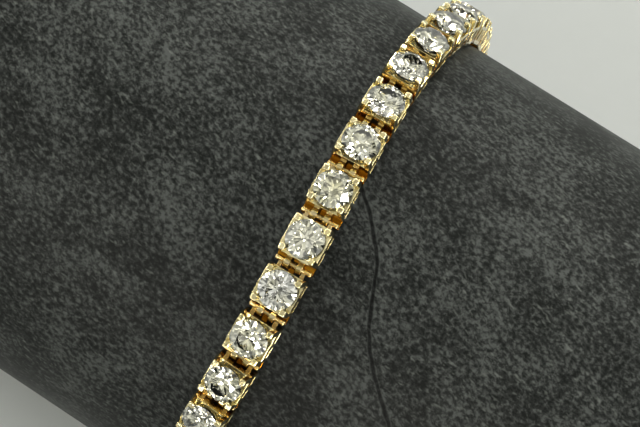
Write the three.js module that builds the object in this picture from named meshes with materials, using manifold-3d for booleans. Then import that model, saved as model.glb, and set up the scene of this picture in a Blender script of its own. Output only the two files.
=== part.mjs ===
// Tennis bracelet of square claw-set links, closed round a plain display roll that lies on a stand.
// Millimetres, +Z up. The roll lies along X. The origin is on the table, under the middle of the stand.

import * as THREE from 'three';
import { mergeVertices } from 'three/addons/utils/BufferGeometryUtils.js';
import Module from 'manifold-3d';

// Stones
const stoneDiameter = 3.64;
const facetsRound = 8;
// Lengths of the brilliant cut, as shares of the stone's diameter
const tableShare = 0.56;
const crownShare = 0.15;
const pavilionShare = 0.43;
const starShare = 0.55; // of the crown's height

// Setting of one link
const sideRim = 0.155; // head outside the stone, at the sides
const endRim = 0.08; // head outside the stone, at the ends
const endTaper = 0.15; // base shorter than the head, at each end
const wall = 0.5;
const lowerRail = 0.5;
const upperRail = 0.35;
const culetHeight = 1.0; // stone's point above the link's inner face
const railDrop = 0.55; // top of the setting's walls below the girdle
const clawWidth = 0.62;
const clawTipWidth = 0.5;
const clawRise = 0.36; // claw tip above the girdle
const clawGrip = 0.3; // claw tip over the stone's edge

// Hinge between links
const hingeHeight = 0.84; // bar's centre above the link's inner face
const barRadius = 0.26;
const hingeSides = 6;
const hingeClearance = 0.14;
const knuckleWall = 0.18;
const knuckleWidth = 1.85;
const notchWidth = 0.7; // opening in the knuckle's top

// Loop
const linkCount = 36; // the clasp is one of them
// How far the loop sways sideways from a flat circle: its tilt, and its bends at twice and three times round
const sway = { tiltSin: -1.11, tiltCos: -0.62, bendSin: 0.13, bendCos: 0.88, curlSin: -0.58, curlCos: -0.14 };

// Roll and stand
const rollLength = 140;
const rollEdge = 1.5;
const rollSides = 72;
const seatClearance = 0.3;
const standBase = 5;
const standWidth = 40;
const uprightThickness = 10;
const uprightInset = 10; // upright inside the roll's end
const saddleDepth = 6; // upright's top above the roll's underside
const underClearance = 2.5; // stand's base below the bracelet

// Sizes that follow
const stoneRadius = stoneDiameter / 2;
const girdleHeight = culetHeight + pavilionShare * stoneDiameter;
const headWidth = stoneDiameter + 2 * sideRim;
const headLength = stoneDiameter + 2 * endRim;
const baseLength = headLength - 2 * endTaper;
const railTop = girdleHeight - railDrop;
const clawTop = girdleHeight + clawRise;
const boreRadius = barRadius + hingeClearance;
const knuckleRadius = boreRadius + knuckleWall;
const pitch = baseLength + 2 * (knuckleRadius + hingeClearance);
const linkStep = (2 * Math.PI) / linkCount;
const hingeCircle = pitch / 2 / Math.sin(linkStep / 2);
const innerFace = hingeCircle * Math.cos(linkStep / 2) - hingeHeight;
const rollRadius = innerFace - seatClearance;
const stoneTop = girdleHeight + crownShare * stoneDiameter;
const axisHeight = standBase + underClearance + innerFace + stoneTop;

const wasm = await Module();
wasm.setup();

// A closed three.js geometry as a solid
function solid(geometry) {
  const bare = geometry.clone();
  bare.deleteAttribute('normal');
  bare.deleteAttribute('uv');
  const merged = mergeVertices(bare, 1e-5);
  return new wasm.Manifold(new wasm.Mesh({
    numProp: 3,
    vertProperties: new Float32Array(merged.attributes.position.array),
    triVerts: new Uint32Array(merged.index.array),
  }));
}

// A solid as a three.js geometry
function geometryOf(body) {
  const mesh = body.getMesh();
  const geometry = new THREE.BufferGeometry();
  geometry.setAttribute('position', new THREE.BufferAttribute(mesh.vertProperties, 3));
  geometry.setIndex(new THREE.BufferAttribute(mesh.triVerts, 1));
  geometry.computeVertexNormals();
  return geometry;
}

// A box between two corners
function box(low, high) {
  const size = high.map((value, k) => value - low[k]);
  const middle = high.map((value, k) => (value + low[k]) / 2);
  return solid(new THREE.BoxGeometry(...size).translate(...middle));
}

// A box whose top and bottom are different rectangles, each given as [x0, x1, y0, y1]
function taperedBox(bottom, top, z0, z1) {
  const geometry = new THREE.BoxGeometry(2, 2, 2);
  const at = geometry.attributes.position;
  for (let k = 0; k < at.count; k += 1) {
    const rectangle = at.getZ(k) > 0 ? top : bottom;
    const x = at.getX(k) > 0 ? rectangle[1] : rectangle[0];
    const y = at.getY(k) > 0 ? rectangle[3] : rectangle[2];
    at.setXYZ(k, x, y, at.getZ(k) > 0 ? z1 : z0);
  }
  return solid(geometry);
}

// A prism along X through a hinge, centred on x = 0 and flat on top
function hingePrism(flatRadius, width, y) {
  const radius = flatRadius / Math.cos(Math.PI / hingeSides);
  const geometry = new THREE.CylinderGeometry(radius, radius, width, hingeSides);
  geometry.rotateY(Math.PI / hingeSides).rotateZ(Math.PI / 2);
  return solid(geometry.translate(0, y, hingeHeight));
}

// Round brilliant: table, stars, kites and upper facets on the crown, sixteen facets under it
function brilliant() {
  const tableRadius = tableShare * stoneRadius;
  const starRadius = (tableRadius + stoneRadius) / 2;
  const crown = crownShare * stoneDiameter;
  const points = [];
  const ring = (radius, z, count, turn) => {
    const first = points.length;
    for (let k = 0; k < count; k += 1) {
      const angle = ((k + turn) * 2 * Math.PI) / count;
      points.push([radius * Math.cos(angle), radius * Math.sin(angle), z]);
    }
    return first;
  };
  const table = ring(tableRadius, girdleHeight + crown, facetsRound, 0.25);
  const star = ring(starRadius, girdleHeight + crown * starShare, facetsRound, 0.75);
  const girdle = ring(stoneRadius, girdleHeight, 2 * facetsRound, 0.5);
  const culet = points.length;
  points.push([0, 0, culetHeight]);
  const triangles = [];
  for (let k = 0; k < facetsRound; k += 1) {
    const next = (k + 1) % facetsRound;
    const a = girdle + 2 * k;
    const b = a + 1;
    const c = girdle + ((2 * k + 2) % (2 * facetsRound));
    if (k > 1) triangles.push([table, table + k - 1, table + k]);
    triangles.push([table + k, star + k, table + next]);
    triangles.push([table + k, a, star + k], [table + next, star + k, c]);
    triangles.push([star + k, a, b], [star + k, b, c]);
    triangles.push([a, culet, b], [b, culet, c]);
  }
  const geometry = new THREE.BufferGeometry();
  geometry.setAttribute('position', new THREE.Float32BufferAttribute(points.flat(), 3));
  geometry.setIndex(triangles.flat());
  return solid(geometry);
}

// Bar on two arms at the link's leading end, bent from one wire, which the next knuckle turns on
function hingeBar() {
  const x = headWidth / 2 - barRadius;
  const y = pitch / 2;
  const root = baseLength / 2 - wall / 2;
  const corners = [[-x, root], [-x, y], [x, y], [x, root]];
  const wireRadius = barRadius / Math.cos(Math.PI / hingeSides);
  const outline = Array.from({ length: hingeSides }, (_, k) => {
    const angle = (k * 2 * Math.PI) / hingeSides;
    return [wireRadius * Math.cos(angle), wireRadius * Math.sin(angle)];
  });
  // Sections stand square to the wire at its ends and on the mitre at its corners
  const outward = [[-1, 0], [-1, 1], [1, 1], [1, 0]];
  const points = corners.flatMap(([cx, cy], k) => outline.map(
    ([aside, up]) => [cx + aside * outward[k][0], cy + aside * outward[k][1], hingeHeight + up],
  ));
  const triangles = [];
  for (let k = 2; k < hingeSides; k += 1) {
    const last = (corners.length - 1) * hingeSides;
    triangles.push([0, k, k - 1], [last, last + k - 1, last + k]);
  }
  for (let k = 1; k < corners.length; k += 1) {
    for (let side = 0; side < hingeSides; side += 1) {
      const next = (side + 1) % hingeSides;
      const [a, b] = [(k - 1) * hingeSides + side, (k - 1) * hingeSides + next];
      const [c, d] = [k * hingeSides + side, k * hingeSides + next];
      triangles.push([a, b, c], [b, d, c]);
    }
  }
  const geometry = new THREE.BufferGeometry();
  geometry.setAttribute('position', new THREE.Float32BufferAttribute(points.flat(), 3));
  geometry.setIndex(triangles.flat());
  return solid(geometry);
}

// Knuckle at the link's trailing end, bored for the bar of the link behind, which shows in its notch
function knuckle() {
  const y = -pitch / 2;
  const barrel = hingePrism(knuckleRadius, knuckleWidth, y);
  const neck = box(
    [-knuckleWidth / 2, y, hingeHeight - knuckleRadius],
    [knuckleWidth / 2, -baseLength / 2 + wall / 2, hingeHeight + knuckleRadius],
  );
  const bore = hingePrism(boreRadius, knuckleWidth + wall, y);
  const notch = box(
    [-notchWidth / 2, y - knuckleRadius - wall, hingeHeight],
    [notchWidth / 2, -baseLength / 2, hingeHeight + knuckleRadius + wall],
  );
  return barrel.add(neck).subtract(bore).subtract(notch);
}

// Claw from a corner of the setting, leaning in over the stone's edge
function claw(sideX, sideY) {
  const lean = (stoneRadius - clawGrip) * Math.SQRT1_2;
  const span = (side, near, far) => [side * near, side * far].sort((a, b) => a - b);
  const bottom = [
    ...span(sideX, headWidth / 2 - clawWidth, headWidth / 2),
    ...span(sideY, headLength / 2 - clawWidth, headLength / 2),
  ];
  const top = [
    ...span(sideX, lean, lean + clawTipWidth),
    ...span(sideY, lean, lean + clawTipWidth),
  ];
  return taperedBox(bottom, top, railTop, clawTop);
}

// Open box under the stone, with a slot along each side between its two rails
function settingBox() {
  const halfWidth = headWidth / 2;
  const base = [-halfWidth, halfWidth, -baseLength / 2, baseLength / 2];
  const top = [-halfWidth, halfWidth, -headLength / 2, headLength / 2];
  const shell = taperedBox(base, top, 0, railTop);
  const pocketX = halfWidth - wall;
  const pocketY = baseLength / 2 - wall;
  const pocket = box([-pocketX, -pocketY, -wall], [pocketX, pocketY, railTop + wall]);
  const slotLow = [-headWidth, -pocketY, lowerRail];
  const slot = box(slotLow, [headWidth, pocketY, railTop - upperRail]);
  return shell.subtract(pocket).subtract(slot);
}

function linkBody() {
  let body = settingBox().add(brilliant());
  for (const sideX of [-1, 1]) {
    for (const sideY of [-1, 1]) body = body.add(claw(sideX, sideY));
  }
  return body.add(hingeBar()).add(knuckle());
}

// Plain box clasp, one piece, hinged to its neighbours as a link is
function claspBody() {
  const halfWidth = headWidth / 2;
  const base = [-halfWidth, halfWidth, -baseLength / 2, baseLength / 2];
  const lid = [-halfWidth + wall, halfWidth - wall, -baseLength / 2 + wall, baseLength / 2 - wall];
  const body = taperedBox(base, base, 0, railTop);
  const cap = taperedBox(base, lid, railTop, girdleHeight);
  return body.add(cap).add(hingeBar()).add(knuckle());
}

// Polished roll with eased edges
function rollBody() {
  const half = rollLength / 2;
  const profile = [
    [0, -half], [rollRadius - rollEdge, -half], [rollRadius, -half + rollEdge],
    [rollRadius, half - rollEdge], [rollRadius - rollEdge, half], [0, half],
  ].map(([radius, along]) => new THREE.Vector2(radius, along));
  const geometry = new THREE.LatheGeometry(profile, rollSides);
  geometry.rotateZ(-Math.PI / 2);
  return solid(geometry);
}

// One plain piece: a base, and an upright with a saddle under each end of the roll
function standBody() {
  const outer = rollLength / 2 - uprightInset;
  const inner = outer - uprightThickness;
  const top = axisHeight - rollRadius + saddleDepth;
  const halfWidth = standWidth / 2;
  let body = box([-outer, -halfWidth, 0], [outer, halfWidth, standBase]);
  for (const side of [-1, 1]) {
    const [x0, x1] = [side * inner, side * outer].sort((a, b) => a - b);
    body = body.add(box([x0, -halfWidth, 0], [x1, halfWidth, top]));
  }
  const saddleRadius = rollRadius + seatClearance;
  const saddle = new THREE.CylinderGeometry(saddleRadius, saddleRadius, rollLength, rollSides);
  saddle.rotateZ(Math.PI / 2).translate(0, 0, axisHeight);
  return body.subtract(solid(saddle));
}

const materials = {
  setting: new THREE.MeshStandardMaterial({ color: 0xd9b45a, roughness: 0.22, metalness: 1 }),
  clasp: new THREE.MeshStandardMaterial({ color: 0xd4ad52, roughness: 0.25, metalness: 1 }),
  roll: new THREE.MeshStandardMaterial({ color: 0x3c3e3f, roughness: 0.4, metalness: 0 }),
  stand: new THREE.MeshStandardMaterial({ color: 0xb9bbb6, roughness: 0.6, metalness: 0 }),
};

function named(name, geometry, material) {
  const mesh = new THREE.Mesh(geometry, material);
  mesh.name = name;
  return mesh;
}

// Centre of a hinge on the loop, seen from the roll's axis; the angle runs from +Z towards +Y
function hingePoint(angle) {
  const across = sway.tiltSin * Math.sin(angle) + sway.tiltCos * Math.cos(angle)
    + sway.bendSin * Math.sin(2 * angle) + sway.bendCos * Math.cos(2 * angle)
    + sway.curlSin * Math.sin(3 * angle) + sway.curlCos * Math.cos(3 * angle);
  return new THREE.Vector3(across, hingeCircle * Math.sin(angle), hingeCircle * Math.cos(angle));
}

// Lays a link between its two hinges, with its stone facing out
function layLink(mesh, index) {
  const angle = index * linkStep;
  const back = hingePoint(angle - linkStep / 2);
  const front = hingePoint(angle + linkStep / 2);
  const along = front.clone().sub(back).normalize();
  const out = new THREE.Vector3(0, Math.sin(angle), Math.cos(angle));
  out.addScaledVector(along, -out.dot(along)).normalize();
  const across = along.clone().cross(out);
  const turn = new THREE.Matrix4().makeBasis(across, along, out);
  mesh.quaternion.setFromRotationMatrix(turn);
  mesh.position.copy(back).add(front).multiplyScalar(0.5).addScaledVector(out, -hingeHeight);
}

const bracelet = new THREE.Group();
bracelet.position.z = axisHeight;
const linkGeometry = geometryOf(linkBody());
const claspIndex = Math.round(linkCount / 2);
for (let index = 0; index < linkCount; index += 1) {
  const isClasp = index === claspIndex;
  const number = String(index + (index < claspIndex ? 1 : 0)).padStart(2, '0');
  const mesh = isClasp
    ? named('clasp', geometryOf(claspBody()), materials.clasp)
    : named(`link_${number}`, linkGeometry, materials.setting);
  layLink(mesh, index);
  bracelet.add(mesh);
}

const roll = named('display_roll', geometryOf(rollBody()), materials.roll);
roll.position.z = axisHeight;

const part = new THREE.Group();
part.add(bracelet);
part.add(roll);
part.add(named('stand', geometryOf(standBody()), materials.stand));

export default part;
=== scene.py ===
"""Tennis bracelet of hinged yellow gold settings, lying round a marble display roll on its stand."""

import math

import bmesh
import bpy
from bpy.props import FloatProperty, FloatVectorProperty, IntProperty, PointerProperty
from bpy.types import Operator, Panel, PropertyGroup
from mathutils import Matrix, Vector


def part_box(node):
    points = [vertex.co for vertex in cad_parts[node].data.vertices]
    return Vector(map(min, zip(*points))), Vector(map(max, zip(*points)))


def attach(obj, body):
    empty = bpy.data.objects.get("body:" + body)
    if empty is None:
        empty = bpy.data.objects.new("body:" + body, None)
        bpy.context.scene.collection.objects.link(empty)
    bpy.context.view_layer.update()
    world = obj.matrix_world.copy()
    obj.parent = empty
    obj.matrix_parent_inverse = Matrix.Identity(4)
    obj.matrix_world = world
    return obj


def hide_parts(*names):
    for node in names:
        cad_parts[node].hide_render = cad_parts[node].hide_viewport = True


bl_info = {
    "name": "Tennis bracelet on a display roll",
    "version": (1, 0, 0),
    "blender": (4, 5, 0),
    "location": "View3D > Sidebar > Bracelet",
    "description": "Builds a tennis bracelet, the marble roll that it lies round, and the roll's stand",
    "category": "Object",
}

MM = 0.001
BODY = "root"
LOOP_TREE = "Links round the loop"
# Name of the attribute that carries the painted shade in the gold's recesses
RECESS_SHADE = "recess"

# An edge that turns by more than this is rounded
SHARP_EDGE = math.radians(35)

# Steps of a rounding, sides of round parts, and steps of half a saddle
LINK_STEPS = 2
PLAIN_STEPS = 3
PIN_SIDES = 14
EYE_SIDES = 20
SEAT_SIDES = 32
SADDLE_STEPS = 16

# Main facets of a stone, and points round its girdle
MAINS = 8
GIRDLE = 4 * MAINS

# How fast the painted shade deepens the gold into a recess, and the most that it does on an outer side
RECESS_POWER = 1.3
SIDE_RECESS = 0.1

DIAMOND_IOR = 2.42

# Directions along the marble's crack and across it
CRACK_ALONG = (-0.605, 0.796, 0.0)
CRACK_ASIDE = (0.796, 0.605, 0.0)

# The ring of small cards: their size and heights, and where the first one is, in degrees
CARD_SIZE = 0.09
CARD_HEIGHTS = (0.20, 0.85, 0.50)
FIRST_CARD = 20

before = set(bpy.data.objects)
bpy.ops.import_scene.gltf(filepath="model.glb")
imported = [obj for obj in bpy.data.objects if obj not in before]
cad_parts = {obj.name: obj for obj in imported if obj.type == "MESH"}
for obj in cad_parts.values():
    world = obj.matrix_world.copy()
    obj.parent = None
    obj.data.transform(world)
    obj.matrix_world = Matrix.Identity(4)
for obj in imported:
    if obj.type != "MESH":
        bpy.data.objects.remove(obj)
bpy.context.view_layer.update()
LINK_NODES = sorted(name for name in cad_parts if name.startswith("link_"))
ROLL_LOW, ROLL_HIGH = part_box("display_roll")
STAND_LOW, STAND_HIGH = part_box("stand")
AXIS = (ROLL_LOW + ROLL_HIGH) / 2


def linear(code):
    """A colour written as an sRGB hex value, as linear red, green, blue and alpha."""
    parts = [int(code[k : k + 2], 16) / 255 for k in (1, 3, 5)]
    return [p / 12.92 if p <= 0.04045 else ((p + 0.055) / 1.055) ** 2.4 for p in parts] + [1.0]


def length(name, millimetres, description):
    """A length that a user may change. Its default is given in millimetres."""
    return FloatProperty(
        name=name, description=description, default=millimetres * MM, unit="LENGTH", precision=5
    )


def share(name, default, description):
    """A share of another size, from 0 to 1."""
    return FloatProperty(
        name=name, description=description, default=default, min=0.0, max=1.0, subtype="FACTOR"
    )


def bearing(name, degrees, description):
    """An angle that a user may change. Its default is given in degrees."""
    return FloatProperty(
        name=name, description=description, default=math.radians(degrees), subtype="ANGLE"
    )


def watts(name, power, description):
    """The power of a lamp."""
    return FloatProperty(name=name, description=description, default=power, min=0.0, unit="POWER")


def colour(name, code, description):
    """A colour that a user may change. Its default is an sRGB hex value."""
    return FloatVectorProperty(
        name=name,
        description=description,
        default=linear(code),
        size=4,
        min=0.0,
        max=1.0,
        subtype="COLOR",
    )


# Sizes and colours


class LoopSizes(PropertyGroup):
    """How the links lie round the roll."""

    places: IntProperty(
        name="Places",
        description="Links round the loop, the clasp among them",
        default=len(LINK_NODES) + 1,
        min=3,
    )
    pitch: length("Pitch", 4.94, "From one hinge bar to the next")
    hinge_height: length("Hinge height", 0.84, "Hinge bar above the link's inner face")
    tilt_sin: length("Tilt, sine", -1.11, "Sideways sway at once round, greatest at the side")
    tilt_cos: length("Tilt, cosine", -0.62, "Sideways sway at once round, greatest at the top")
    bend_sin: length("Bend, sine", 0.13, "Sideways sway at twice round, sine part")
    bend_cos: length("Bend, cosine", 0.88, "Sideways sway at twice round, cosine part")
    curl_sin: length("Curl, sine", -0.58, "Sideways sway at three times round, sine part")
    curl_cos: length("Curl, cosine", -0.14, "Sideways sway at three times round, cosine part")


class SettingSizes(PropertyGroup):
    """One gold link: its open box, claws and hinge."""

    head_width: length("Head width", 3.95, "Across the bracelet, outside the claws")
    head_length: length("Head length", 3.80, "Along the bracelet, outside the claws")
    base_length: length("Base length", 3.50, "Along the bracelet at the inner face")
    wall: length("Wall", 0.50, "Thickness of the box's corner posts")
    rail: length("Rail", 0.36, "Thickness of the upper side walls")
    foot_rail: length("Foot rail", 0.22, "Thickness of the lower side rails")
    plate: length("Plate", 0.34, "Thickness of the end plates")
    lower_rail: length("Lower rail", 0.42, "Height of the lower side rail")
    upper_rail: length("Upper rail", 0.95, "Height of the side panel above its windows")
    panel_depth: length("Panel depth", 0.13, "How deep the side panels lie behind the posts and the rib")
    rib: length("Rib", 0.46, "Width of the upright rib in the middle of each side")
    rail_top: length("Rail top", 2.015, "Top of the box above the inner face")
    claw: length("Claw", 0.62, "Width of a claw at the box")
    claw_tip: length("Claw tip", 0.64, "Width of a claw at its tip")
    claw_top: length("Claw top", 2.925, "Claw tips above the inner face")
    claw_grip: length("Claw grip", 0.16, "How far a tip reaches over the stone's edge")
    claw_round: length("Claw rounding", 0.15, "Rounding of the claws' edges")
    edge_round: length("Edge rounding", 0.05, "Rounding of the box's edges")
    seat_hole: length("Seat hole", 3.0, "Diameter of the hole that the stone sits in")
    arm: length("Arm", 0.42, "Width of each arm of the hinge bar")
    arm_thickness: length("Arm thickness", 0.42, "Thickness of the arms")
    floor: length("Floor", 0.90, "How far the floor beside the knuckle reaches")
    ledge: length("Ledge", 0.38, "How far the tongues between the eyes reach under the hinge")
    ledge_height: length("Ledge height", 0.42, "Thickness of the floor and the tongues")
    bar: length("Bar", 0.26, "Radius of the hinge bar")
    clearance: length("Clearance", 0.14, "Between the hinge bar and its knuckle")
    knuckle_wall: length("Knuckle wall", 0.18, "Metal round the knuckle's bore")
    knuckle_width: length("Knuckle width", 1.85, "Both eyes of the knuckle and their notch")
    notch: length("Notch", 0.70, "Opening between the knuckle's two eyes")


class StoneCut(PropertyGroup):
    """Round brilliant of 57 facets. Shares are of its diameter unless they say otherwise."""

    diameter: length("Diameter", 3.64, "Across the girdle")
    culet: length("Culet height", 1.00, "The stone's point above the link's inner face")
    table: share("Table", 0.56, "Width of the flat top")
    crown: share("Crown", 0.147, "Height of the crown")
    girdle: share("Girdle", 0.014, "Thickness of the girdle")
    pavilion: share("Pavilion", 0.425, "Depth of the pavilion")
    star: share("Star", 0.50, "Length of the stars, as a share of the crown's slope")
    lower_half: share("Lower halves", 0.77, "Length of the lower halves, as a share of the slope")


class RollSizes(PropertyGroup):
    """The marble roll. Its radius and length come from the frame."""

    edge: length("Edge", 1.5, "Rounding of the roll's two rims")
    segments: IntProperty(name="Segments", description="Steps round the roll", default=256, min=24)


class MarblePattern(PropertyGroup):
    """The marble's grain and its one crack."""

    cloud: length("Clouds", 6.0, "Width of the soft clouds")
    grain: length("Grain", 0.42, "Width of the fine mottling")
    fleck: length("Flecks", 0.40, "Width of the pale flecks")
    lie: bearing("Lie", -16.0, "Turn of the grain from the roll's axis")
    crack_offset: length("Crack offset", 3.83, "From the roll's middle to the crack's path")
    crack_swing: length("Crack swing", 0.62, "How far the path winds to each side")
    crack_bend: length("Crack bend", 16.3, "Length of one winding")
    crack_start: length("Crack start", 5.3, "Where the windings start along the path")
    crack_wobble: length("Crack wobble", 1.0, "How far its fine wobble goes")


class StandSizes(PropertyGroup):
    """The stand. Its outer sizes come from the frame."""

    base: length("Base", 5.0, "Thickness of the base")
    upright: length("Upright", 10.0, "Thickness of each upright")
    seat: length("Seat clearance", 0.3, "Between the roll and its saddle")
    rounding: length("Rounding", 0.8, "Rounding of the stand's edges")


class Finishes(PropertyGroup):
    """Colours of the metals, stones, marble and stage."""

    gold: colour("Gold", "#E8D8A0", "Polished 14 carat yellow gold")
    gold_pale: colour("Pale gold", "#EFE6BD", "Where polishing has thinned the colour")
    # The deep gold is painted shade: the shade in the recesses and the brown of gold reflected in gold
    gold_painted_shade: colour("Deep gold", "#986A1A", "Cast skin in the recesses that the buff doesn't reach")
    stone: colour("Stone", "#F3EEBE", "Near-white brilliant with a faint warm tint")
    marble: colour("Dark marble", "#191B19", "Darkest mottling of the grey marble")
    body: colour("Marble", "#2F312F", "Ground of the grey marble")
    cloud: colour("Marble cloud", "#555855", "Lighter clouds in the marble")
    fleck: colour("Marble fleck", "#7C807A", "Small pale flecks in the marble")
    vein: colour("Marble vein", "#060606", "The dark crack in the marble")
    stand: colour("Stand", "#B9BBB6", "Matte pale grey of the stand")
    floor: colour("Floor", "#D2D5D2", "Plain pale floor")


class CameraPlace(PropertyGroup):
    """Where the camera stands, measured from the bracelet's highest stretch."""

    azimuth: bearing("Azimuth", 33.482, "Turn about the vertical")
    elevation: bearing("Elevation", 74.468, "Above the horizon")
    distance: length("Distance", 201.9, "From the point that it looks at")
    aim_x: length("Aim along the roll", -0.05, "Point that it looks at, along the roll")
    aim_y: length("Aim across the roll", -1.89, "Point that it looks at, across the roll")
    lens: FloatProperty(
        name="Lens", description="Focal length on a 36 mm frame", default=124.9, unit="CAMERA"
    )


class StageLights(PropertyGroup):
    """Lamps that light the scene, and cards that only show in the gold and the stones."""

    window: watts("Window", 11.0, "Large soft window behind the roll")
    left_lamp: watts("Left lamp", 4.6, "Low lamp past the roll's left end")
    right_lamp: watts("Right lamp", 3.6, "Low lamp past the roll's right end")
    card: watts("Card", 0.65, "Each small card of the ring")
    overhead: watts("Overhead", 1.6, "Wide cloth above the roll")
    glint: watts("Glint", 3.0, "Small card near the camera")
    cards: IntProperty(name="Cards", description="Cards in the ring", default=27, min=0)
    ring: length("Ring", 750.0, "Radius of the ring of cards")


GROUPS = {
    "loop": LoopSizes,
    "setting": SettingSizes,
    "stone": StoneCut,
    "roll": RollSizes,
    "marble": MarblePattern,
    "stand": StandSizes,
    "finish": Finishes,
    "camera": CameraPlace,
    "lights": StageLights,
}


class BraceletSettings(PropertyGroup):
    """Every size and colour, in groups."""

    __annotations__ = {key: PointerProperty(type=group) for key, group in GROUPS.items()}


# Mesh helpers


def object_of(name, bm):
    """Makes an object at the origin from a mesh that is being built."""
    mesh = bpy.data.meshes.new(name)
    bm.to_mesh(mesh)
    bm.free()
    obj = bpy.data.objects.new(name, mesh)
    bpy.context.scene.collection.objects.link(obj)
    return obj


def baked(obj):
    """Applies an object's modifiers and leaves it with a plain mesh."""
    bpy.context.view_layer.update()
    evaluated = obj.evaluated_get(bpy.context.evaluated_depsgraph_get())
    mesh = bpy.data.meshes.new_from_object(evaluated)
    obj.modifiers.clear()
    old = obj.data
    obj.data = mesh
    bpy.data.meshes.remove(old)
    mesh.name = obj.name
    return obj


def rounded(obj, width, segments):
    """Rounds the edges by their bevel weight: 1 gives the full width."""
    bevel = obj.modifiers.new("Rounding", "BEVEL")
    bevel.limit_method = "WEIGHT"
    bevel.width = width
    bevel.segments = segments
    bevel.use_clamp_overlap = True
    bevel.harden_normals = True
    obj.data.shade_smooth()
    return baked(obj)


def loft(bm, sections, weight=0.0, closed=False):
    """Skins closed sections of equal length, with flat ends unless the last joins the first."""
    rings = [[bm.verts.new(point) for point in section] for section in sections]
    count = len(rings[0])
    pairs = list(zip(rings, rings[1:]))
    if closed:
        pairs.append((rings[-1], rings[0]))
    made = []
    for low, high in pairs:
        for k in range(count):
            n = (k + 1) % count
            made.append(bm.faces.new((low[k], low[n], high[n], high[k])))
    if not closed:
        made.append(bm.faces.new(rings[0][::-1]))
        made.append(bm.faces.new(rings[-1]))
    return weighted(bm, made, weight)


def weighted(bm, made, weight):
    """Turns the normals of faces outwards and sets the bevel weight of their sharp edges."""
    bmesh.ops.recalc_face_normals(bm, faces=made)
    bm.normal_update()
    layers = bm.edges.layers.float
    layer = layers.get("bevel_weight_edge") or layers.new("bevel_weight_edge")
    for edge in {e for face in made for e in face.edges}:
        sharp = edge.calc_face_angle(0.0) > SHARP_EDGE
        edge[layer] = weight if sharp else 0.0
    return made


def rectangle(x0, x1, y0, y1, z):
    """Four corners of a level rectangle."""
    return [Vector(p) for p in ((x0, y0, z), (x1, y0, z), (x1, y1, z), (x0, y1, z))]


def block(bm, low, high, weight):
    """A box between two corners."""
    (x0, y0, z0), (x1, y1, z1) = low, high
    return loft(bm, [rectangle(x0, x1, y0, y1, z0), rectangle(x0, x1, y0, y1, z1)], weight)


def ring_points(radius, count, turn=0.0):
    """Points round a circle, as pairs."""
    angles = [(k + turn) * math.tau / count for k in range(count)]
    return [(radius * math.cos(a), radius * math.sin(a)) for a in angles]


# Material helpers


def add_node(tree, kind, inputs=None, stops=(), **settings):
    """Adds a node and sets it up.

    An input, given by name or number, takes a value, an output, or a node for its first output in use.
    Stops are the (position, colour) pairs of a colour ramp.
    """
    node = tree.nodes.new(kind)
    for key, value in settings.items():
        setattr(node, key, value)
    for key, value in (inputs or {}).items():
        if isinstance(value, bpy.types.Node):
            value = next(output for output in value.outputs if output.enabled)
        if isinstance(value, bpy.types.NodeSocket):
            tree.links.new(value, node.inputs[key])
        else:
            node.inputs[key].default_value = value
    if stops:
        elements = node.color_ramp.elements
        while len(elements) < len(stops):
            elements.new(0.5)
        for element, (position, tone) in zip(elements, stops):
            element.position = position
            element.color = tone
    return node


def blank_material(name):
    """A new material, its empty tree, and the coordinates of the piece that it is on."""
    material = bpy.data.materials.new(name)
    material.use_nodes = True
    tree = material.node_tree
    tree.nodes.clear()
    return material, tree, add_node(tree, "ShaderNodeTexCoord").outputs["Object"]


def finished(material, inputs):
    """Ends a material in its Principled shader."""
    tree = material.node_tree
    shader = add_node(tree, "ShaderNodeBsdfPrincipled", inputs)
    add_node(tree, "ShaderNodeOutputMaterial", {"Surface": shader})
    return material


def patches(millimetres):
    """Scale of a noise whose patches have this width."""
    return 1 / (millimetres * MM)


def dimmed(tone, strength):
    """A darker shade of a colour."""
    return [strength * part for part in tone[:3]] + [1.0]


def polished_gold(finish):
    """Cast and buffed 14 carat gold: warm and mirror-like, with hairlines and soft dips, and painted
    shade in its recesses.
    """
    material, tree, place = blank_material("polished_yellow_gold")
    patch = add_node(
        tree, "ShaderNodeTexNoise",
        {"Vector": place, "Scale": patches(1.6), "Detail": 3.0, "Roughness": 0.6},
    )
    tone = add_node(
        tree, "ShaderNodeValToRGB", {"Fac": patch}, [(0.35, finish.gold), (0.7, finish.gold_pale)]
    )
    # Painted shade: the tone turns to deep gold with the depth of each recess
    depth = add_node(tree, "ShaderNodeAttribute", attribute_name=RECESS_SHADE).outputs["Fac"]
    painted_shade_tone = add_node(tree, "ShaderNodeMix", {0: depth, 6: tone, 7: finish.gold_painted_shade}, data_type="RGBA")
    haze = add_node(
        tree, "ShaderNodeMapRange",
        {"Value": patch, "From Min": 0.3, "From Max": 0.75, "To Min": 0.10, "To Max": 0.20},
    )
    dips = add_node(tree, "ShaderNodeTexNoise", {"Vector": place, "Scale": patches(0.5), "Detail": 2.0})
    # Hairlines are about 0.05 mm apart on the real metal; 0.12 mm shows them
    hairs = add_node(
        tree, "ShaderNodeTexNoise", {"Vector": place, "Scale": patches(0.12), "Detail": 4.0}
    )
    relief = add_node(tree, "ShaderNodeMath", {0: dips, 1: hairs, 2: dips}, operation="MULTIPLY_ADD")
    bump = add_node(tree, "ShaderNodeBump", {"Height": relief, "Strength": 0.25, "Distance": 0.02 * MM})
    return finished(material, {"Base Color": painted_shade_tone, "Metallic": 1.0, "Roughness": haze, "Normal": bump})


def brilliant_stone(finish):
    """Cut and polished diamond: clear and strongly refracting, with a trace of body colour."""
    material, tree, place = blank_material("cut_diamond")
    trace = add_node(
        tree, "ShaderNodeTexNoise",
        {"Vector": place, "Scale": patches(2.4), "Detail": 2.0, "Roughness": 0.5},
    )
    tone = add_node(
        tree, "ShaderNodeValToRGB", {"Fac": trace},
        [(0.3, finish.stone), (0.7, linear("#FFFFFF"))],
    )
    return finished(
        material,
        {"Base Color": tone, "Transmission Weight": 1.0, "IOR": DIAMOND_IOR, "Roughness": 0.0},
    )


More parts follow.
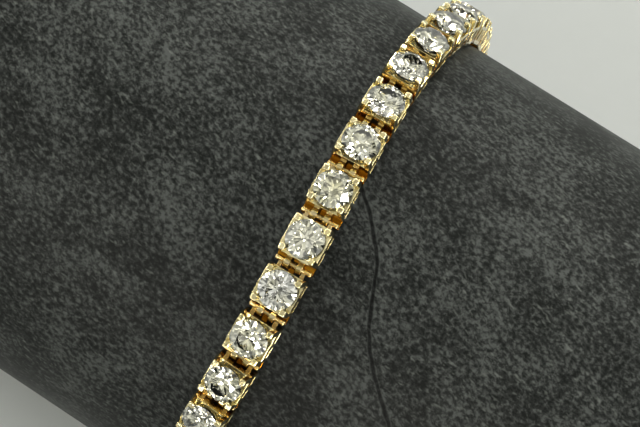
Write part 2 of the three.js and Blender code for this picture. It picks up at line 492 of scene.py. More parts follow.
def crack_in(tree, place, mottle, finish, marble):
    """How strongly the marble's one crack shows at a point, and its colour there."""
    wobble = add_node(tree, "ShaderNodeTexNoise", {"Vector": place, "Scale": patches(4), "Detail": 3.0})
    shifted = add_node(
        tree, "ShaderNodeVectorMath",
        {0: wobble.outputs["Color"], 1: (marble.crack_wobble,) * 3, 2: place},
        operation="MULTIPLY_ADD",
    )
    aside = add_node(
        tree, "ShaderNodeVectorMath", {0: shifted, 1: CRACK_ASIDE}, operation="DOT_PRODUCT"
    )
    along = add_node(tree, "ShaderNodeVectorMath", {0: place, 1: CRACK_ALONG}, operation="DOT_PRODUCT")
    run = add_node(tree, "ShaderNodeMath", {0: along, 1: marble.crack_start}, operation="ADD")
    phase = add_node(
        tree, "ShaderNodeMath", {0: run, 1: math.tau / marble.crack_bend}, operation="MULTIPLY"
    )
    wave = add_node(tree, "ShaderNodeMath", {0: phase}, operation="COSINE")
    middle = add_node(
        tree, "ShaderNodeMath", {0: wave, 1: marble.crack_swing, 2: marble.crack_offset},
        operation="MULTIPLY_ADD",
    )
    gap = add_node(tree, "ShaderNodeMath", {0: aside, 1: middle}, operation="SUBTRACT")
    off = add_node(tree, "ShaderNodeMath", {0: gap}, operation="ABSOLUTE")
    # The crack is a third of a millimetre wide, from its dark middle to its pale edges
    width = add_node(tree, "ShaderNodeMath", {0: off, 1: MM}, operation="DIVIDE")
    band = add_node(
        tree, "ShaderNodeValToRGB", {"Fac": width},
        [(0.10, finish.vein), (0.18, finish.body), (0.26, finish.cloud)],
    )
    # Its edges are broken: they reach further where the mottling is pale
    edge = add_node(
        tree, "ShaderNodeMapRange",
        {
            "Value": mottle, "From Min": 0.42, "From Max": 0.56,
            "To Min": 0.24 * MM, "To Max": 0.42 * MM,
        },
    )
    nearness = add_node(
        tree, "ShaderNodeMapRange",
        {"Value": off, "From Min": 0.14 * MM, "From Max": edge, "To Min": 0.8, "To Max": 0.0},
    )
    # It fades out beyond the bracelet
    across = add_node(tree, "ShaderNodeSeparateXYZ", {"Vector": place}).outputs["Y"]
    fade = add_node(
        tree, "ShaderNodeMapRange",
        {"Value": across, "From Min": 2.5 * MM, "From Max": 4.5 * MM, "To Min": 1.0, "To Max": 0.0},
    )
    crack = add_node(tree, "ShaderNodeMath", {0: nearness, 1: fade}, operation="MULTIPLY")
    return crack, band


def grey_marble(finish, marble):
    """Turned and honed grey marble: soft clouds, fine grain and pale flecks, with one dark crack."""
    material, tree, place = blank_material("honed_grey_marble")
    lie = add_node(
        tree, "ShaderNodeMapping",
        {"Vector": place, "Rotation": (0.0, 0.0, marble.lie), "Scale": (1.25, 1.0, 1.0)},
        vector_type="TEXTURE",
    )
    clouds = add_node(
        tree, "ShaderNodeTexNoise",
        {
            "Vector": lie, "Scale": 1 / marble.cloud,
            "Detail": 5.0, "Roughness": 0.62, "Distortion": 0.4,
        },
    )
    grain = add_node(
        tree, "ShaderNodeTexNoise",
        {
            "Vector": lie, "Scale": 1 / marble.grain,
            "Detail": 3.0, "Roughness": 0.62, "Distortion": 0.25,
        },
    )
    mottle = add_node(tree, "ShaderNodeMix", {"Factor": 0.67, 2: clouds, 3: grain}, data_type="FLOAT")
    ground = add_node(
        tree, "ShaderNodeValToRGB", {"Fac": mottle},
        [(0.40, finish.marble), (0.495, finish.body), (0.61, finish.cloud)],
    )
    # Sparse pale flecks are drawn out along the same grain
    drawn = add_node(
        tree, "ShaderNodeMapping", {"Vector": lie, "Scale": (1.6, 1.0, 1.0)}, vector_type="TEXTURE"
    )
    specks = add_node(
        tree, "ShaderNodeTexNoise",
        {"Vector": drawn, "Scale": 1 / marble.fleck, "Detail": 1.0, "Roughness": 0.5},
    )
    bright = add_node(
        tree, "ShaderNodeMapRange",
        {"Value": specks, "From Min": 0.63, "From Max": 0.80, "To Min": 0.0, "To Max": 0.5},
    )
    flecked = add_node(tree, "ShaderNodeMix", {0: bright, 6: ground, 7: finish.fleck}, data_type="RGBA")
    crack, band = crack_in(tree, place, mottle, finish, marble)
    veined = add_node(tree, "ShaderNodeMix", {0: crack, 6: flecked, 7: band}, data_type="RGBA")
    gloss = add_node(
        tree, "ShaderNodeMapRange",
        {"Value": grain, "From Min": 0.3, "From Max": 0.7, "To Min": 0.42, "To Max": 0.55},
    )
    bump = add_node(tree, "ShaderNodeBump", {"Height": grain, "Strength": 0.12, "Distance": 0.05 * MM})
    # Honed stone is full of fine pores, so it reflects far less than a polished face
    return finished(
        material,
        {"Base Color": veined, "Roughness": gloss, "Specular IOR Level": 0.08, "Normal": bump},
    )


def moulded_stand(finish):
    """Moulded ABS with a fine matte grain."""
    material, tree, place = blank_material("matte_moulded_abs")
    grain = add_node(
        tree, "ShaderNodeTexNoise", {"Vector": place, "Scale": patches(0.5), "Detail": 3.0}
    )
    tone = add_node(
        tree, "ShaderNodeValToRGB", {"Fac": grain},
        [(0.3, dimmed(finish.stand, 0.93)), (0.7, finish.stand)],
    )
    bump = add_node(tree, "ShaderNodeBump", {"Height": grain, "Strength": 0.2, "Distance": 0.04 * MM})
    return finished(material, {"Base Color": tone, "Roughness": 0.55, "Normal": bump})


def plain_floor(finish):
    """Plain pale paper, without shine."""
    material, tree, place = blank_material("pale_paper")
    fibre = add_node(tree, "ShaderNodeTexNoise", {"Vector": place, "Scale": patches(4), "Detail": 3.0})
    tone = add_node(
        tree, "ShaderNodeValToRGB", {"Fac": fibre},
        [(0.3, dimmed(finish.floor, 0.985)), (0.7, finish.floor)],
    )
    return finished(material, {"Base Color": tone, "Roughness": 0.9})


# Links laid round the loop


def add_socket(tree, name, kind, way="INPUT"):
    """Adds a named input or output to a node tree."""
    tree.interface.new_socket(name=name, in_out=way, socket_type="NodeSocket" + kind)


SWAY = ("Tilt Sine", "Tilt Cosine", "Bend Sine", "Bend Cosine", "Curl Sine", "Curl Cosine")


def hinge_group():
    """Node group that gives the hinge's centre at an angle from the top, seen from the roll's axis."""
    tree = bpy.data.node_groups.new("Hinge on the loop", "GeometryNodeTree")
    for name in ("Angle", "Radius", *SWAY):
        add_socket(tree, name, "Float")
    add_socket(tree, "Centre", "Vector", "OUTPUT")
    given = add_node(tree, "NodeGroupInput").outputs
    waves = []
    for times in (1.0, 2.0, 3.0):
        turn = add_node(tree, "ShaderNodeMath", {0: given["Angle"], 1: times}, operation="MULTIPLY")
        for wave in ("SINE", "COSINE"):
            waves.append(add_node(tree, "ShaderNodeMath", {0: turn}, operation=wave))
    across = 0.0
    for name, wave in zip(SWAY, waves):
        part = add_node(tree, "ShaderNodeMath", {0: given[name], 1: wave}, operation="MULTIPLY")
        across = add_node(tree, "ShaderNodeMath", {0: across, 1: part}, operation="ADD")
    place = {"X": across}
    for axis, wave in zip("YZ", waves):
        place[axis] = add_node(
            tree, "ShaderNodeMath", {0: given["Radius"], 1: wave}, operation="MULTIPLY"
        )
    centre = add_node(tree, "ShaderNodeCombineXYZ", place)
    add_node(tree, "NodeGroupOutput", {"Centre": centre})
    return tree


def loop_tree():
    """Node tree that lays one link at every place round the loop, but for the clasp's."""
    hinge = hinge_group()
    tree = bpy.data.node_groups.new(LOOP_TREE, "GeometryNodeTree")
    add_socket(tree, "Geometry", "Geometry")
    add_socket(tree, "Geometry", "Geometry", "OUTPUT")
    for name, kind in (
        ("Link", "Object"), ("Material", "Material"), ("Places", "Int"), ("Clasp Place", "Int"),
        ("Radius", "Float"), ("Hinge Height", "Float"), ("Axis", "Vector"),
        *((name, "Float") for name in SWAY),
        ("Spin", "Float"), ("Lean", "Float"), ("Seed", "Int"),
    ):
        add_socket(tree, name, kind)
    given = add_node(tree, "NodeGroupInput").outputs
    index = add_node(tree, "GeometryNodeInputIndex")
    step = add_node(tree, "ShaderNodeMath", {0: math.tau, 1: given["Places"]}, operation="DIVIDE")
    angle = add_node(tree, "ShaderNodeMath", {0: index, 1: step}, operation="MULTIPLY")
    half = add_node(tree, "ShaderNodeMath", {0: step, 1: 0.5}, operation="MULTIPLY")
    ends = []
    for operation in ("SUBTRACT", "ADD"):
        sizes = {name: given[name] for name in ("Radius", *SWAY)}
        sizes["Angle"] = add_node(tree, "ShaderNodeMath", {0: angle, 1: half}, operation=operation)
        ends.append(add_node(tree, "GeometryNodeGroup", sizes, node_tree=hinge))
    back, front = ends
    # Each link points from one hinge to the next, and its stone away from the roll
    along = add_node(tree, "ShaderNodeVectorMath", {0: front, 1: back}, operation="SUBTRACT")
    middle = add_node(tree, "ShaderNodeMix", {"Factor": 0.5, 4: back, 5: front}, data_type="VECTOR")
    sine = add_node(tree, "ShaderNodeMath", {0: angle}, operation="SINE")
    cosine = add_node(tree, "ShaderNodeMath", {0: angle}, operation="COSINE")
    outward = add_node(tree, "ShaderNodeCombineXYZ", {"Y": sine, "Z": cosine})
    turn = add_node(
        tree, "FunctionNodeAxesToRotation", {"Primary Axis": along, "Secondary Axis": outward},
        primary_axis="Y", secondary_axis="Z",
    )
    drop = add_node(tree, "ShaderNodeMath", {0: given["Hinge Height"], 1: -1.0}, operation="MULTIPLY")
    down = add_node(tree, "ShaderNodeCombineXYZ", {"Z": drop})
    lowered = add_node(tree, "FunctionNodeRotateVector", {"Vector": down, "Rotation": turn})
    foot = add_node(tree, "ShaderNodeVectorMath", {0: middle, 1: lowered}, operation="ADD")
    place = add_node(tree, "ShaderNodeVectorMath", {0: foot, 1: given["Axis"]}, operation="ADD")
    points = add_node(tree, "GeometryNodePoints", {"Count": given["Places"], "Position": place})
    link = add_node(tree, "GeometryNodeObjectInfo", {"Object": given["Link"]}).outputs["Geometry"]
    wanted = add_node(
        tree, "FunctionNodeCompare", {2: index, 3: given["Clasp Place"]},
        data_type="INT", operation="NOT_EQUAL",
    )
    laid = add_node(
        tree, "GeometryNodeInstanceOnPoints",
        {"Points": points, "Selection": wanted, "Instance": link, "Rotation": turn},
    )
    # Each copy spins and leans by a little, at random
    most = add_node(
        tree, "ShaderNodeCombineXYZ", {"X": given["Lean"], "Y": given["Lean"], "Z": given["Spin"]}
    )
    least = add_node(tree, "ShaderNodeVectorMath", {0: most, "Scale": -1.0}, operation="SCALE")
    chance = add_node(
        tree, "FunctionNodeRandomValue", {0: least, 1: most, "Seed": given["Seed"]},
        data_type="FLOAT_VECTOR",
    )
    turned = add_node(
        tree, "GeometryNodeRotateInstances",
        {"Instances": laid, "Rotation": chance, "Local Space": True},
    )
    real = add_node(tree, "GeometryNodeRealizeInstances", {"Geometry": turned})
    coated = add_node(
        tree, "GeometryNodeSetMaterial", {"Geometry": real, "Material": given["Material"]}
    )
    add_node(tree, "NodeGroupOutput", {"Geometry": coated})
    return tree


def hinge_radius(loop):
    """Radius of the circle through the hinge bars."""
    return loop.pitch / 2 / math.sin(math.pi / loop.places)


def clasp_place(loop):
    """The clasp lies half way round, under the roll."""
    return round(loop.places / 2)


def laid_round(name, link, material, loop, spin=0.0, lean=0.0, seed=0):
    """Copies a link to every place but the clasp's, as one mesh. Spin and lean are the most it turns."""
    tree = bpy.data.node_groups.get(LOOP_TREE) or loop_tree()
    obj = bpy.data.objects.new(name, bpy.data.meshes.new(name))
    bpy.context.scene.collection.objects.link(obj)
    modifier = obj.modifiers.new("Links", "NODES")
    modifier.node_group = tree
    values = {
        "Link": link, "Material": material, "Places": loop.places, "Clasp Place": clasp_place(loop),
        "Radius": hinge_radius(loop), "Hinge Height": loop.hinge_height, "Axis": AXIS,
        "Tilt Sine": loop.tilt_sin, "Tilt Cosine": loop.tilt_cos,
        "Bend Sine": loop.bend_sin, "Bend Cosine": loop.bend_cos,
        "Curl Sine": loop.curl_sin, "Curl Cosine": loop.curl_cos,
        "Spin": spin, "Lean": lean, "Seed": seed,
    }
    for item in tree.interface.items_tree:
        if item.in_out == "INPUT" and item.name in values:
            modifier[item.identifier] = values[item.name]
    baked(obj)
    bpy.data.objects.remove(link)
    return obj


def hinge_centre(loop, angle):
    """Centre of the hinge at an angle from the top."""
    across = (
        loop.tilt_sin * math.sin(angle) + loop.tilt_cos * math.cos(angle)
        + loop.bend_sin * math.sin(2 * angle) + loop.bend_cos * math.cos(2 * angle)
        + loop.curl_sin * math.sin(3 * angle) + loop.curl_cos * math.cos(3 * angle)
    )
    radius = hinge_radius(loop)
    return AXIS + Vector((across, radius * math.sin(angle), radius * math.cos(angle)))


def place_matrix(loop, index):
    """Where the link at one place lies, as a matrix."""
    step = math.tau / loop.places
    back = hinge_centre(loop, (index - 0.5) * step)
    front = hinge_centre(loop, (index + 0.5) * step)
    along = (front - back).normalized()
    out = Vector((0, math.sin(index * step), math.cos(index * step)))
    out = (out - along * out.dot(along)).normalized()
    turn = Matrix((along.cross(out), along, out)).transposed().to_4x4()
    return Matrix.Translation((back + front) / 2 - out * loop.hinge_height) @ turn


# Parts of a link


def claw(bm, s, stone_radius, side_x, side_y):
    """Corner post that turns into a claw and leans in over the stone's edge."""
    half_x, half_y = s.head_width / 2, s.head_length / 2
    foot_y = s.base_length / 2
    lean = (stone_radius - s.claw_grip) * math.sqrt(0.5)
    spans = [
        (half_x - s.wall, half_x, foot_y - s.wall, foot_y, 0.0),
        (half_x - s.wall, half_x, half_y - s.wall, half_y, s.rail_top - s.plate),
        (half_x - s.claw, half_x, half_y - s.claw, half_y, s.rail_top),
        (lean, lean + s.claw_tip, lean, lean + s.claw_tip, s.claw_top),
    ]
    sections = [rectangle(side_x * a, side_x * b, side_y * c, side_y * d, z) for a, b, c, d, z in spans]
    loft(bm, sections, 1.0)


def open_box(bm, s):
    """Low and high side walls with sunk panels, a rib between their windows, and a plate at each end."""
    half_x = s.head_width / 2
    weight = s.edge_round / s.claw_round
    foot_y, head_y = s.base_length / 2 - s.wall / 2, s.head_length / 2 - s.wall / 2
    top = s.rail_top - s.edge_round
    near, far = s.base_length / 2 - s.plate, s.base_length / 2
    grow = (s.head_length - s.base_length) / 2
    x = half_x - s.wall / 2
    for side in (-1, 1):
        inner, outer = side * (half_x - s.rail), side * half_x
        foot = side * (half_x - s.foot_rail)
        sunk = side * (half_x - s.panel_depth)
        block(bm, (foot, -foot_y, 0), (outer, foot_y, s.lower_rail), weight)
        block(bm, (inner, -head_y, s.rail_top - s.plate), (outer, head_y, s.rail_top), weight)
        block(bm, (inner, -foot_y, s.rail_top - s.upper_rail), (sunk, foot_y, top), weight)
        block(bm, (inner, -s.rib / 2, s.edge_round), (outer, s.rib / 2, top), weight)
        low = rectangle(-x, x, side * near, side * far, 0.0)
        high = rectangle(-x, x, side * (near + grow), side * (far + grow), s.rail_top)
        loft(bm, [low, high], weight)


def stone_seat(bm, s):
    """Plate under the stone with a round hole, so that gold shows in the corners beside the stone."""
    half_x, half_y = s.head_width / 2 - s.edge_round, s.head_length / 2 - s.edge_round
    top, under = s.rail_top - s.edge_round, s.rail_top - s.plate
    wide = s.seat_hole / 2

    def outline(z):
        circle = ring_points(1.0, SEAT_SIDES)
        flat = [Vector((a * half_x, b * half_y, 0)) / max(abs(a), abs(b)) for a, b in circle]
        return [point + Vector((0, 0, z)) for point in flat]

    def hole(z, radius):
        return [Vector((a, b, z)) for a, b in ring_points(radius, SEAT_SIDES)]

    sections = [outline(under), outline(top), hole(top, wide), hole(under, wide - s.plate / 2)]
    loft(bm, sections, closed=True)


def hinge_bar(bm, s, loop):
    """Round bar with domed ends, across the leading end on two flat arms."""
    reach = s.head_width / 2 - s.edge_round
    y, z = loop.pitch / 2, loop.hinge_height
    root = s.base_length / 2 - s.wall / 2
    weight = s.edge_round / s.claw_round
    for side in (-1, 1):
        inner = side * (s.knuckle_width / 2 + s.clearance / 2)
        low = (inner, root, z - s.arm_thickness / 2)
        block(bm, low, (inner + side * s.arm, y, z + s.arm_thickness / 2), weight)
    # Places along the bar and the share of its radius there, up to where the dome ends
    dome = [(-reach, 0.5), (0.3 * s.bar - reach, 0.9), (0.6 * s.bar - reach, 1.0)]
    stations = dome + [(-x, wide) for x, wide in reversed(dome)]
    sections = [
        [Vector((x, y + a, z + b)) for a, b in ring_points(s.bar * wide, PIN_SIDES)]
        for x, wide in stations
    ]
    loft(bm, sections)


def knuckle_eyes(bm, s, loop):
    """Two bored eyes with a notch between them, each on its neck, and the floors and tongues below."""
    y, z = -loop.pitch / 2, loop.hinge_height
    bore = s.bar + s.clearance
    outer = bore + s.knuckle_wall
    neck = 0.9 * outer
    weight = s.edge_round / s.claw_round
    near, edge = -s.base_length / 2, s.head_width / 2 - s.edge_round
    for side in (-1, 1):
        x0, x1 = side * s.notch / 2, side * s.knuckle_width / 2
        sections = []
        for x, radius in ((x0, bore), (x0, outer), (x1, outer), (x1, bore)):
            ring = ring_points(radius, EYE_SIDES)
            sections.append([Vector((x, y + a, z + b)) for a, b in ring])
        loft(bm, sections, weight, closed=True)
        low = (x0, y + bore + s.knuckle_wall / 2, z - neck)
        block(bm, low, (x1, near + s.wall / 2, z + neck), weight)
        low = (x1 - side * s.edge_round, near - s.floor, 0.0)
        block(bm, low, (side * edge, near + s.wall / 2, s.ledge_height), weight)
    tongue = s.notch / 2 - s.edge_round
    for side in (-1, 1):
        end = side * s.base_length / 2
        low = (-tongue, end - side * s.wall / 2, 0.0)
        block(bm, low, (tongue, end + side * s.ledge, s.ledge_height), weight)


def paint_recess_shade(obj, s):
    """Stores how deep each corner lies in the link, from 0 at the top to 1 at the floor, as its share of
    painted shade.
    """
    mesh = obj.data
    layer = mesh.attributes.new(RECESS_SHADE, "FLOAT", "CORNER")
    shallow, deep = s.rail_top, s.ledge_height
    for face in mesh.polygons:
        # The outer sides catch the light, so they get only a little painted shade
        on_side = abs(face.center.x) > s.head_width / 2 - s.wall / 2
        outer = on_side and abs(face.center.y) < s.base_length / 2
        for corner in face.loop_indices:
            height = mesh.vertices[mesh.loops[corner].vertex_index].co.z
            depth = max((shallow - height) / (shallow - deep), 0.0)
            layer.data[corner].value = min(depth**RECESS_POWER, SIDE_RECESS if outer else 1.0)
    return obj


def setting_object(name, settings):
    """One gold link without its stone."""
    s, loop = settings.setting, settings.loop
    bm = bmesh.new()
    for side_x in (-1, 1):
        for side_y in (-1, 1):
            claw(bm, s, settings.stone.diameter / 2, side_x, side_y)
    open_box(bm, s)
    stone_seat(bm, s)
    hinge_bar(bm, s, loop)
    knuckle_eyes(bm, s, loop)
    link = rounded(object_of(name, bm), s.claw_round, LINK_STEPS)
    return paint_recess_shade(link, s)


def stone_object(name, cut):
    """Round brilliant: table, 8 stars, 8 kites, 16 upper and 16 lower halves, 8 mains, and a girdle."""
    radius = cut.diameter / 2
    pavilion = cut.pavilion * cut.diameter
    crown = cut.crown * cut.diameter
    low_girdle = cut.culet + pavilion
    high_girdle = low_girdle + cut.girdle * cut.diameter
    table_radius = cut.table * radius
    flat = math.cos(math.pi / MAINS)
    star_radius = table_radius * flat + cut.star * (radius - table_radius * flat)
    star_rise = crown * (radius - star_radius * flat) / (radius - table_radius)
    main_radius = radius * (1 - cut.lower_half)
    main_rise = pavilion * main_radius * flat / radius
    bm = bmesh.new()

    def ring(distance, height, count, turn=0.0):
        return [bm.verts.new((a, b, height)) for a, b in ring_points(distance, count, turn)]

    table = ring(table_radius, high_girdle + crown, MAINS)
    stars = ring(star_radius, high_girdle + star_rise, MAINS, 0.5)
    upper = ring(radius, high_girdle, GIRDLE)
    lower = ring(radius, low_girdle, GIRDLE)
    mains = ring(main_radius, cut.culet + main_rise, MAINS, 0.5)
    culet = bm.verts.new((0, 0, cut.culet))
    # Every second point of the girdle dips to the plane of the half facet that it is in
    chord = math.cos(math.pi / (2 * MAINS))
    dip = radius * (1 / chord - chord) / 2
    for k in range(1, GIRDLE, 2):
        upper[k].co.z -= dip * star_rise / (radius - star_radius)
        lower[k].co.z += dip * pavilion / radius
    bm.faces.new(table)
    for k in range(MAINS):
        n = (k + 1) % MAINS
        g = [(4 * k + j) % GIRDLE for j in range(5)]
        bm.faces.new((table[k], stars[k], table[n]))
        bm.faces.new((table[k], stars[k - 1], upper[g[0]], stars[k]))
        bm.faces.new((stars[k], upper[g[0]], upper[g[1]], upper[g[2]]))
        bm.faces.new((stars[k], upper[g[2]], upper[g[3]], upper[g[4]]))
        bm.faces.new((mains[k], lower[g[0]], lower[g[1]], lower[g[2]]))
        bm.faces.new((mains[k], lower[g[2]], lower[g[3]], lower[g[4]]))
        bm.faces.new((culet, mains[k - 1], lower[g[0]], mains[k]))
    for k in range(GIRDLE):
        n = (k + 1) % GIRDLE
        bm.faces.new((upper[k], upper[n], lower[n], lower[k]))
    bmesh.ops.recalc_face_normals(bm, faces=bm.faces)
    return object_of(name, bm)


def material_on(obj, material):
    """Gives a piece its one material."""
    obj.data.materials.clear()
    obj.data.materials.append(material)


def seat(obj, slot, *nodes):
    """Attaches a finished piece to its body and hides the nodes that it stands for. Its slot is not
    used.
    """
    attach(obj, BODY)
    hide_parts(*nodes)


# Operators


class BRACELET_OT_links(Operator):
    """Lay the gold settings and their stones round the roll."""

    bl_idname = "bracelet.links"
    bl_label = "Links and stones"

    def execute(self, context):
        settings = context.scene.bracelet
        gold = polished_gold(settings.finish)
        links = laid_round("gold_settings", setting_object("setting", settings), gold, settings.loop)
        seat(links, "gold_setting", *LINK_NODES)
        clear = brilliant_stone(settings.finish)
        stones = laid_round(
            "brilliants", stone_object("brilliant", settings.stone), clear, settings.loop,
            spin=math.pi / 8, lean=math.radians(1.5), seed=7,
        )
        seat(stones, "gold_setting", *LINK_NODES)
        return {"FINISHED"}


class BRACELET_OT_clasp(Operator):
    """Make the plain box clasp under the roll."""

    bl_idname = "bracelet.clasp"
    bl_label = "Clasp"

    def execute(self, context):
        settings = context.scene.bracelet
        s, loop = settings.setting, settings.loop
        half_x, half_y = s.head_width / 2, s.base_length / 2
        top = settings.stone.culet + settings.stone.pavilion * settings.stone.diameter
        bm = bmesh.new()
        outline = [
            rectangle(-half_x, half_x, -half_y, half_y, 0.0),
            rectangle(-half_x, half_x, -half_y, half_y, s.rail_top),
            rectangle(s.wall - half_x, half_x - s.wall, s.wall - half_y, half_y - s.wall, top),
        ]
        loft(bm, outline, 1.0)
        hinge_bar(bm, s, loop)
        knuckle_eyes(bm, s, loop)
        clasp = rounded(object_of("box_clasp", bm), s.claw_round, PLAIN_STEPS)
        paint_recess_shade(clasp, s)
        clasp.data.transform(place_matrix(loop, clasp_place(loop)))
        material_on(clasp, bpy.data.materials["polished_yellow_gold"])
        seat(clasp, "gold_clasp", "clasp")
        return {"FINISHED"}


class BRACELET_OT_roll(Operator):
    """Turn the marble roll."""

    bl_idname = "bracelet.roll"
    bl_label = "Display roll"

    def execute(self, context):
        settings = context.scene.bracelet
        edge = settings.roll.edge
        radius = (ROLL_HIGH.z - ROLL_LOW.z) / 2
        # Each rim turns through a quarter circle in six steps
        quarter = [k * math.pi / 12 for k in range(7)]
        rim = [(edge * (1 - math.sin(a)), radius - edge * (1 - math.cos(a))) for a in quarter]
        profile = [(ROLL_LOW.x + x, r) for x, r in reversed(rim)]
        profile += [(ROLL_HIGH.x - x, r) for x, r in rim]
        sections = [
            [Vector((x, AXIS.y + a, AXIS.z + b)) for a, b in ring_points(r, settings.roll.segments)]
            for x, r in profile
        ]
        bm = bmesh.new()
        loft(bm, sections)
        roll = object_of("marble_roll", bm)
        roll.data.shade_smooth()
        roll.data.set_sharp_from_angle(angle=math.radians(60))
        material_on(roll, grey_marble(settings.finish, settings.marble))
        seat(roll, "grey_marble", "display_roll")
        return {"FINISHED"}


class BRACELET_OT_stand(Operator):
    """Mould the stand under the roll."""

    bl_idname = "bracelet.stand"
    bl_label = "Stand"

    def execute(self, context):
        settings = context.scene.bracelet
        s = settings.stand
        low, high = STAND_LOW, STAND_HIGH
        saddle = (ROLL_HIGH.z - ROLL_LOW.z) / 2 + s.seat
        reach = math.asin(math.sqrt(saddle**2 - (AXIS.z - high.z) ** 2) / saddle)
        arc = [reach - k * reach / SADDLE_STEPS for k in range(2 * SADDLE_STEPS + 1)]
        cheek = [(high.y, high.z)]
        cheek += [(saddle * math.sin(a), AXIS.z - saddle * math.cos(a)) for a in arc]
        cheek += [(low.y, high.z)]
        bm = bmesh.new()
        base_top = low.z + s.base
        slab = [(low.y, low.z), (high.y, low.z), (high.y, base_top), (low.y, base_top)]
        places = [low.x, low.x + s.upright, high.x - s.upright, high.x]
        made = loft(bm, [[Vector((x, y, z)) for y, z in slab] for x in places])
        bm.verts.ensure_lookup_table()
        corners = [[bm.verts[4 * k + 3], bm.verts[4 * k + 2]] for k in range(len(places))]
        for first in (0, 2):
            # An upright stands on the base in place of a part of its top face
            top = made[4 * first + 2]
            made[4 * first + 2] = None
            bm.faces.remove(top)
            rings = []
            for k in (first, first + 1):
                rings.append(corners[k] + [bm.verts.new((places[k], y, z)) for y, z in cheek])
            count = len(rings[0])
            for k in range(1, count):
                n = (k + 1) % count
                made.append(bm.faces.new((rings[0][k], rings[0][n], rings[1][n], rings[1][k])))
            made += [bm.faces.new(rings[0][::-1]), bm.faces.new(rings[1])]
        weighted(bm, [face for face in made if face], 1.0)
        stand = rounded(object_of("roll_stand", bm), s.rounding, PLAIN_STEPS)
        material_on(stand, moulded_stand(settings.finish))
        seat(stand, "pale_stand", "stand")
        return {"FINISHED"}


class BRACELET_OT_stage(Operator):
    """Set the floor, lights and camera."""

    bl_idname = "bracelet.stage"
    bl_label = "Stage"

    def execute(self, context):
        settings = context.scene.bracelet
        bm = bmesh.new()
        bmesh.ops.create_grid(bm, x_segments=1, y_segments=1, size=2.5)
        floor = object_of("floor", bm)
        material_on(floor, plain_floor(settings.finish))
        lights = settings.lights
        # These light the scene and don't show in the gold. The lamps cast soft shadows beside the links
        for name, place, size, power in (
            ("window", (0.25, 1.30, 0.78), 1.30, lights.window),
            ("side_lamp", (-0.90, 0.0, 0.65), 0.30, lights.left_lamp),
            ("side_lamp", (0.90, 0.0, 0.65), 0.30, lights.right_lamp),
        ):
            add_light(name, place, size, power, "#FFFEFA").visible_glossy = False
        # These only show in the gold and the stones
        for k in range(lights.cards):
            angle = math.radians(FIRST_CARD + 360 * k / lights.cards)
            height = CARD_HEIGHTS[k % len(CARD_HEIGHTS)]
            place = (lights.ring * math.cos(angle), lights.ring * math.sin(angle), height)
            card = add_light("card_%d" % (k + 1), place, CARD_SIZE, lights.card, "#FFFBF2")
            card.visible_diffuse = False
        overhead = add_light("overhead", (0.0, 0.10, 1.20), 1.40, lights.overhead, "#FFFDF6")
        overhead.visible_diffuse = False
        glint = add_light("glint", (0.34, -0.52, 0.42), 0.12, lights.glint, "#FFF8EA")
        glint.visible_diffuse = False
        context.scene.world = soft_tent()
        context.scene.view_settings.view_transform = "Standard"
        # Light thrown back by the gold would wash out the soft shadow beside the links
        context.scene.cycles.caustics_reflective = False
        context.scene.cycles.caustics_refractive = False
        place_camera(context.scene, settings.camera)
        return {"FINISHED"}


def soft_tent():
    """A white light tent. Its folds give the facets something light and something dark to show."""
    world = bpy.data.worlds.new("soft_tent")
    world.use_nodes = True
    tree = world.node_tree
    tree.nodes.clear()
    way = add_node(tree, "ShaderNodeTexCoord").outputs["Generated"]
    folds = add_node(
        tree, "ShaderNodeTexNoise",
        {"Vector": way, "Scale": 8.0, "Detail": 1.5, "Roughness": 0.5, "Distortion": 0.4},
    )
    tone = add_node(
        tree, "ShaderNodeValToRGB", {"Fac": folds},
        [(0.42, linear("#1C1E1B")), (0.51, linear("#BCBEB6")), (0.60, linear("#FFFFF8"))],
    )
    cloth = add_node(tree, "ShaderNodeBackground", {"Color": tone, "Strength": 0.92})
    add_node(tree, "ShaderNodeOutputWorld", {"Surface": cloth})
    return world


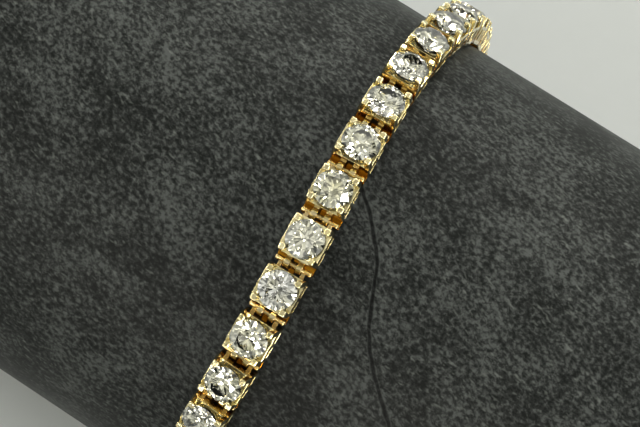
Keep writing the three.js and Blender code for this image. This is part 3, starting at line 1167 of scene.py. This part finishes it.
def add_light(name, place, size, power, code):
    """A square area light that faces the roll."""
    data = bpy.data.lights.new(name, "AREA")
    data.size = size
    data.energy = power
    data.color = linear(code)[:3]
    light = bpy.data.objects.new(name, data)
    light.location = place
    light.rotation_euler = (AXIS - Vector(place)).to_track_quat("-Z", "Y").to_euler()
    bpy.context.scene.collection.objects.link(light)
    return light


def place_camera(scene, camera):
    """A level camera that looks down on the bracelet at the photo's angle."""
    aim = Vector((camera.aim_x, camera.aim_y, ROLL_HIGH.z))
    flat = math.cos(camera.elevation)
    back = Vector(
        (math.sin(camera.azimuth) * flat, -math.cos(camera.azimuth) * flat, math.sin(camera.elevation))
    )
    data = bpy.data.cameras.new("photo_camera")
    data.lens = camera.lens
    data.sensor_width = 36.0
    data.clip_start = 0.01
    obj = bpy.data.objects.new("photo_camera", data)
    obj.location = aim + back * camera.distance
    obj.rotation_euler = (-back).to_track_quat("-Z", "Y").to_euler()
    scene.collection.objects.link(obj)
    scene.camera = obj


OPERATORS = (
    BRACELET_OT_links,
    BRACELET_OT_clasp,
    BRACELET_OT_roll,
    BRACELET_OT_stand,
    BRACELET_OT_stage,
)


class BRACELET_PT_panel(Panel):
    """Lists the operators and the sizes."""

    bl_idname = "BRACELET_PT_panel"
    bl_label = "Tennis bracelet"
    bl_space_type = "VIEW_3D"
    bl_region_type = "UI"
    bl_category = "Bracelet"

    def draw(self, context):
        for operator in OPERATORS:
            self.layout.operator(operator.bl_idname)
        settings = context.scene.bracelet
        for key, group in GROUPS.items():
            column = self.layout.column()
            column.label(text=key.capitalize())
            for name in group.__annotations__:
                column.prop(getattr(settings, key), name)


CLASSES = (*GROUPS.values(), BraceletSettings, *OPERATORS, BRACELET_PT_panel)


def register():
    for item in CLASSES:
        bpy.utils.register_class(item)
    bpy.types.Scene.bracelet = PointerProperty(type=BraceletSettings)


def unregister():
    del bpy.types.Scene.bracelet
    for item in reversed(CLASSES):
        bpy.utils.unregister_class(item)


def main():
    register()
    bpy.ops.bracelet.links()
    bpy.ops.bracelet.clasp()
    bpy.ops.bracelet.roll()
    bpy.ops.bracelet.stand()
    bpy.ops.bracelet.stage()


if __name__ == "__main__":
    main()
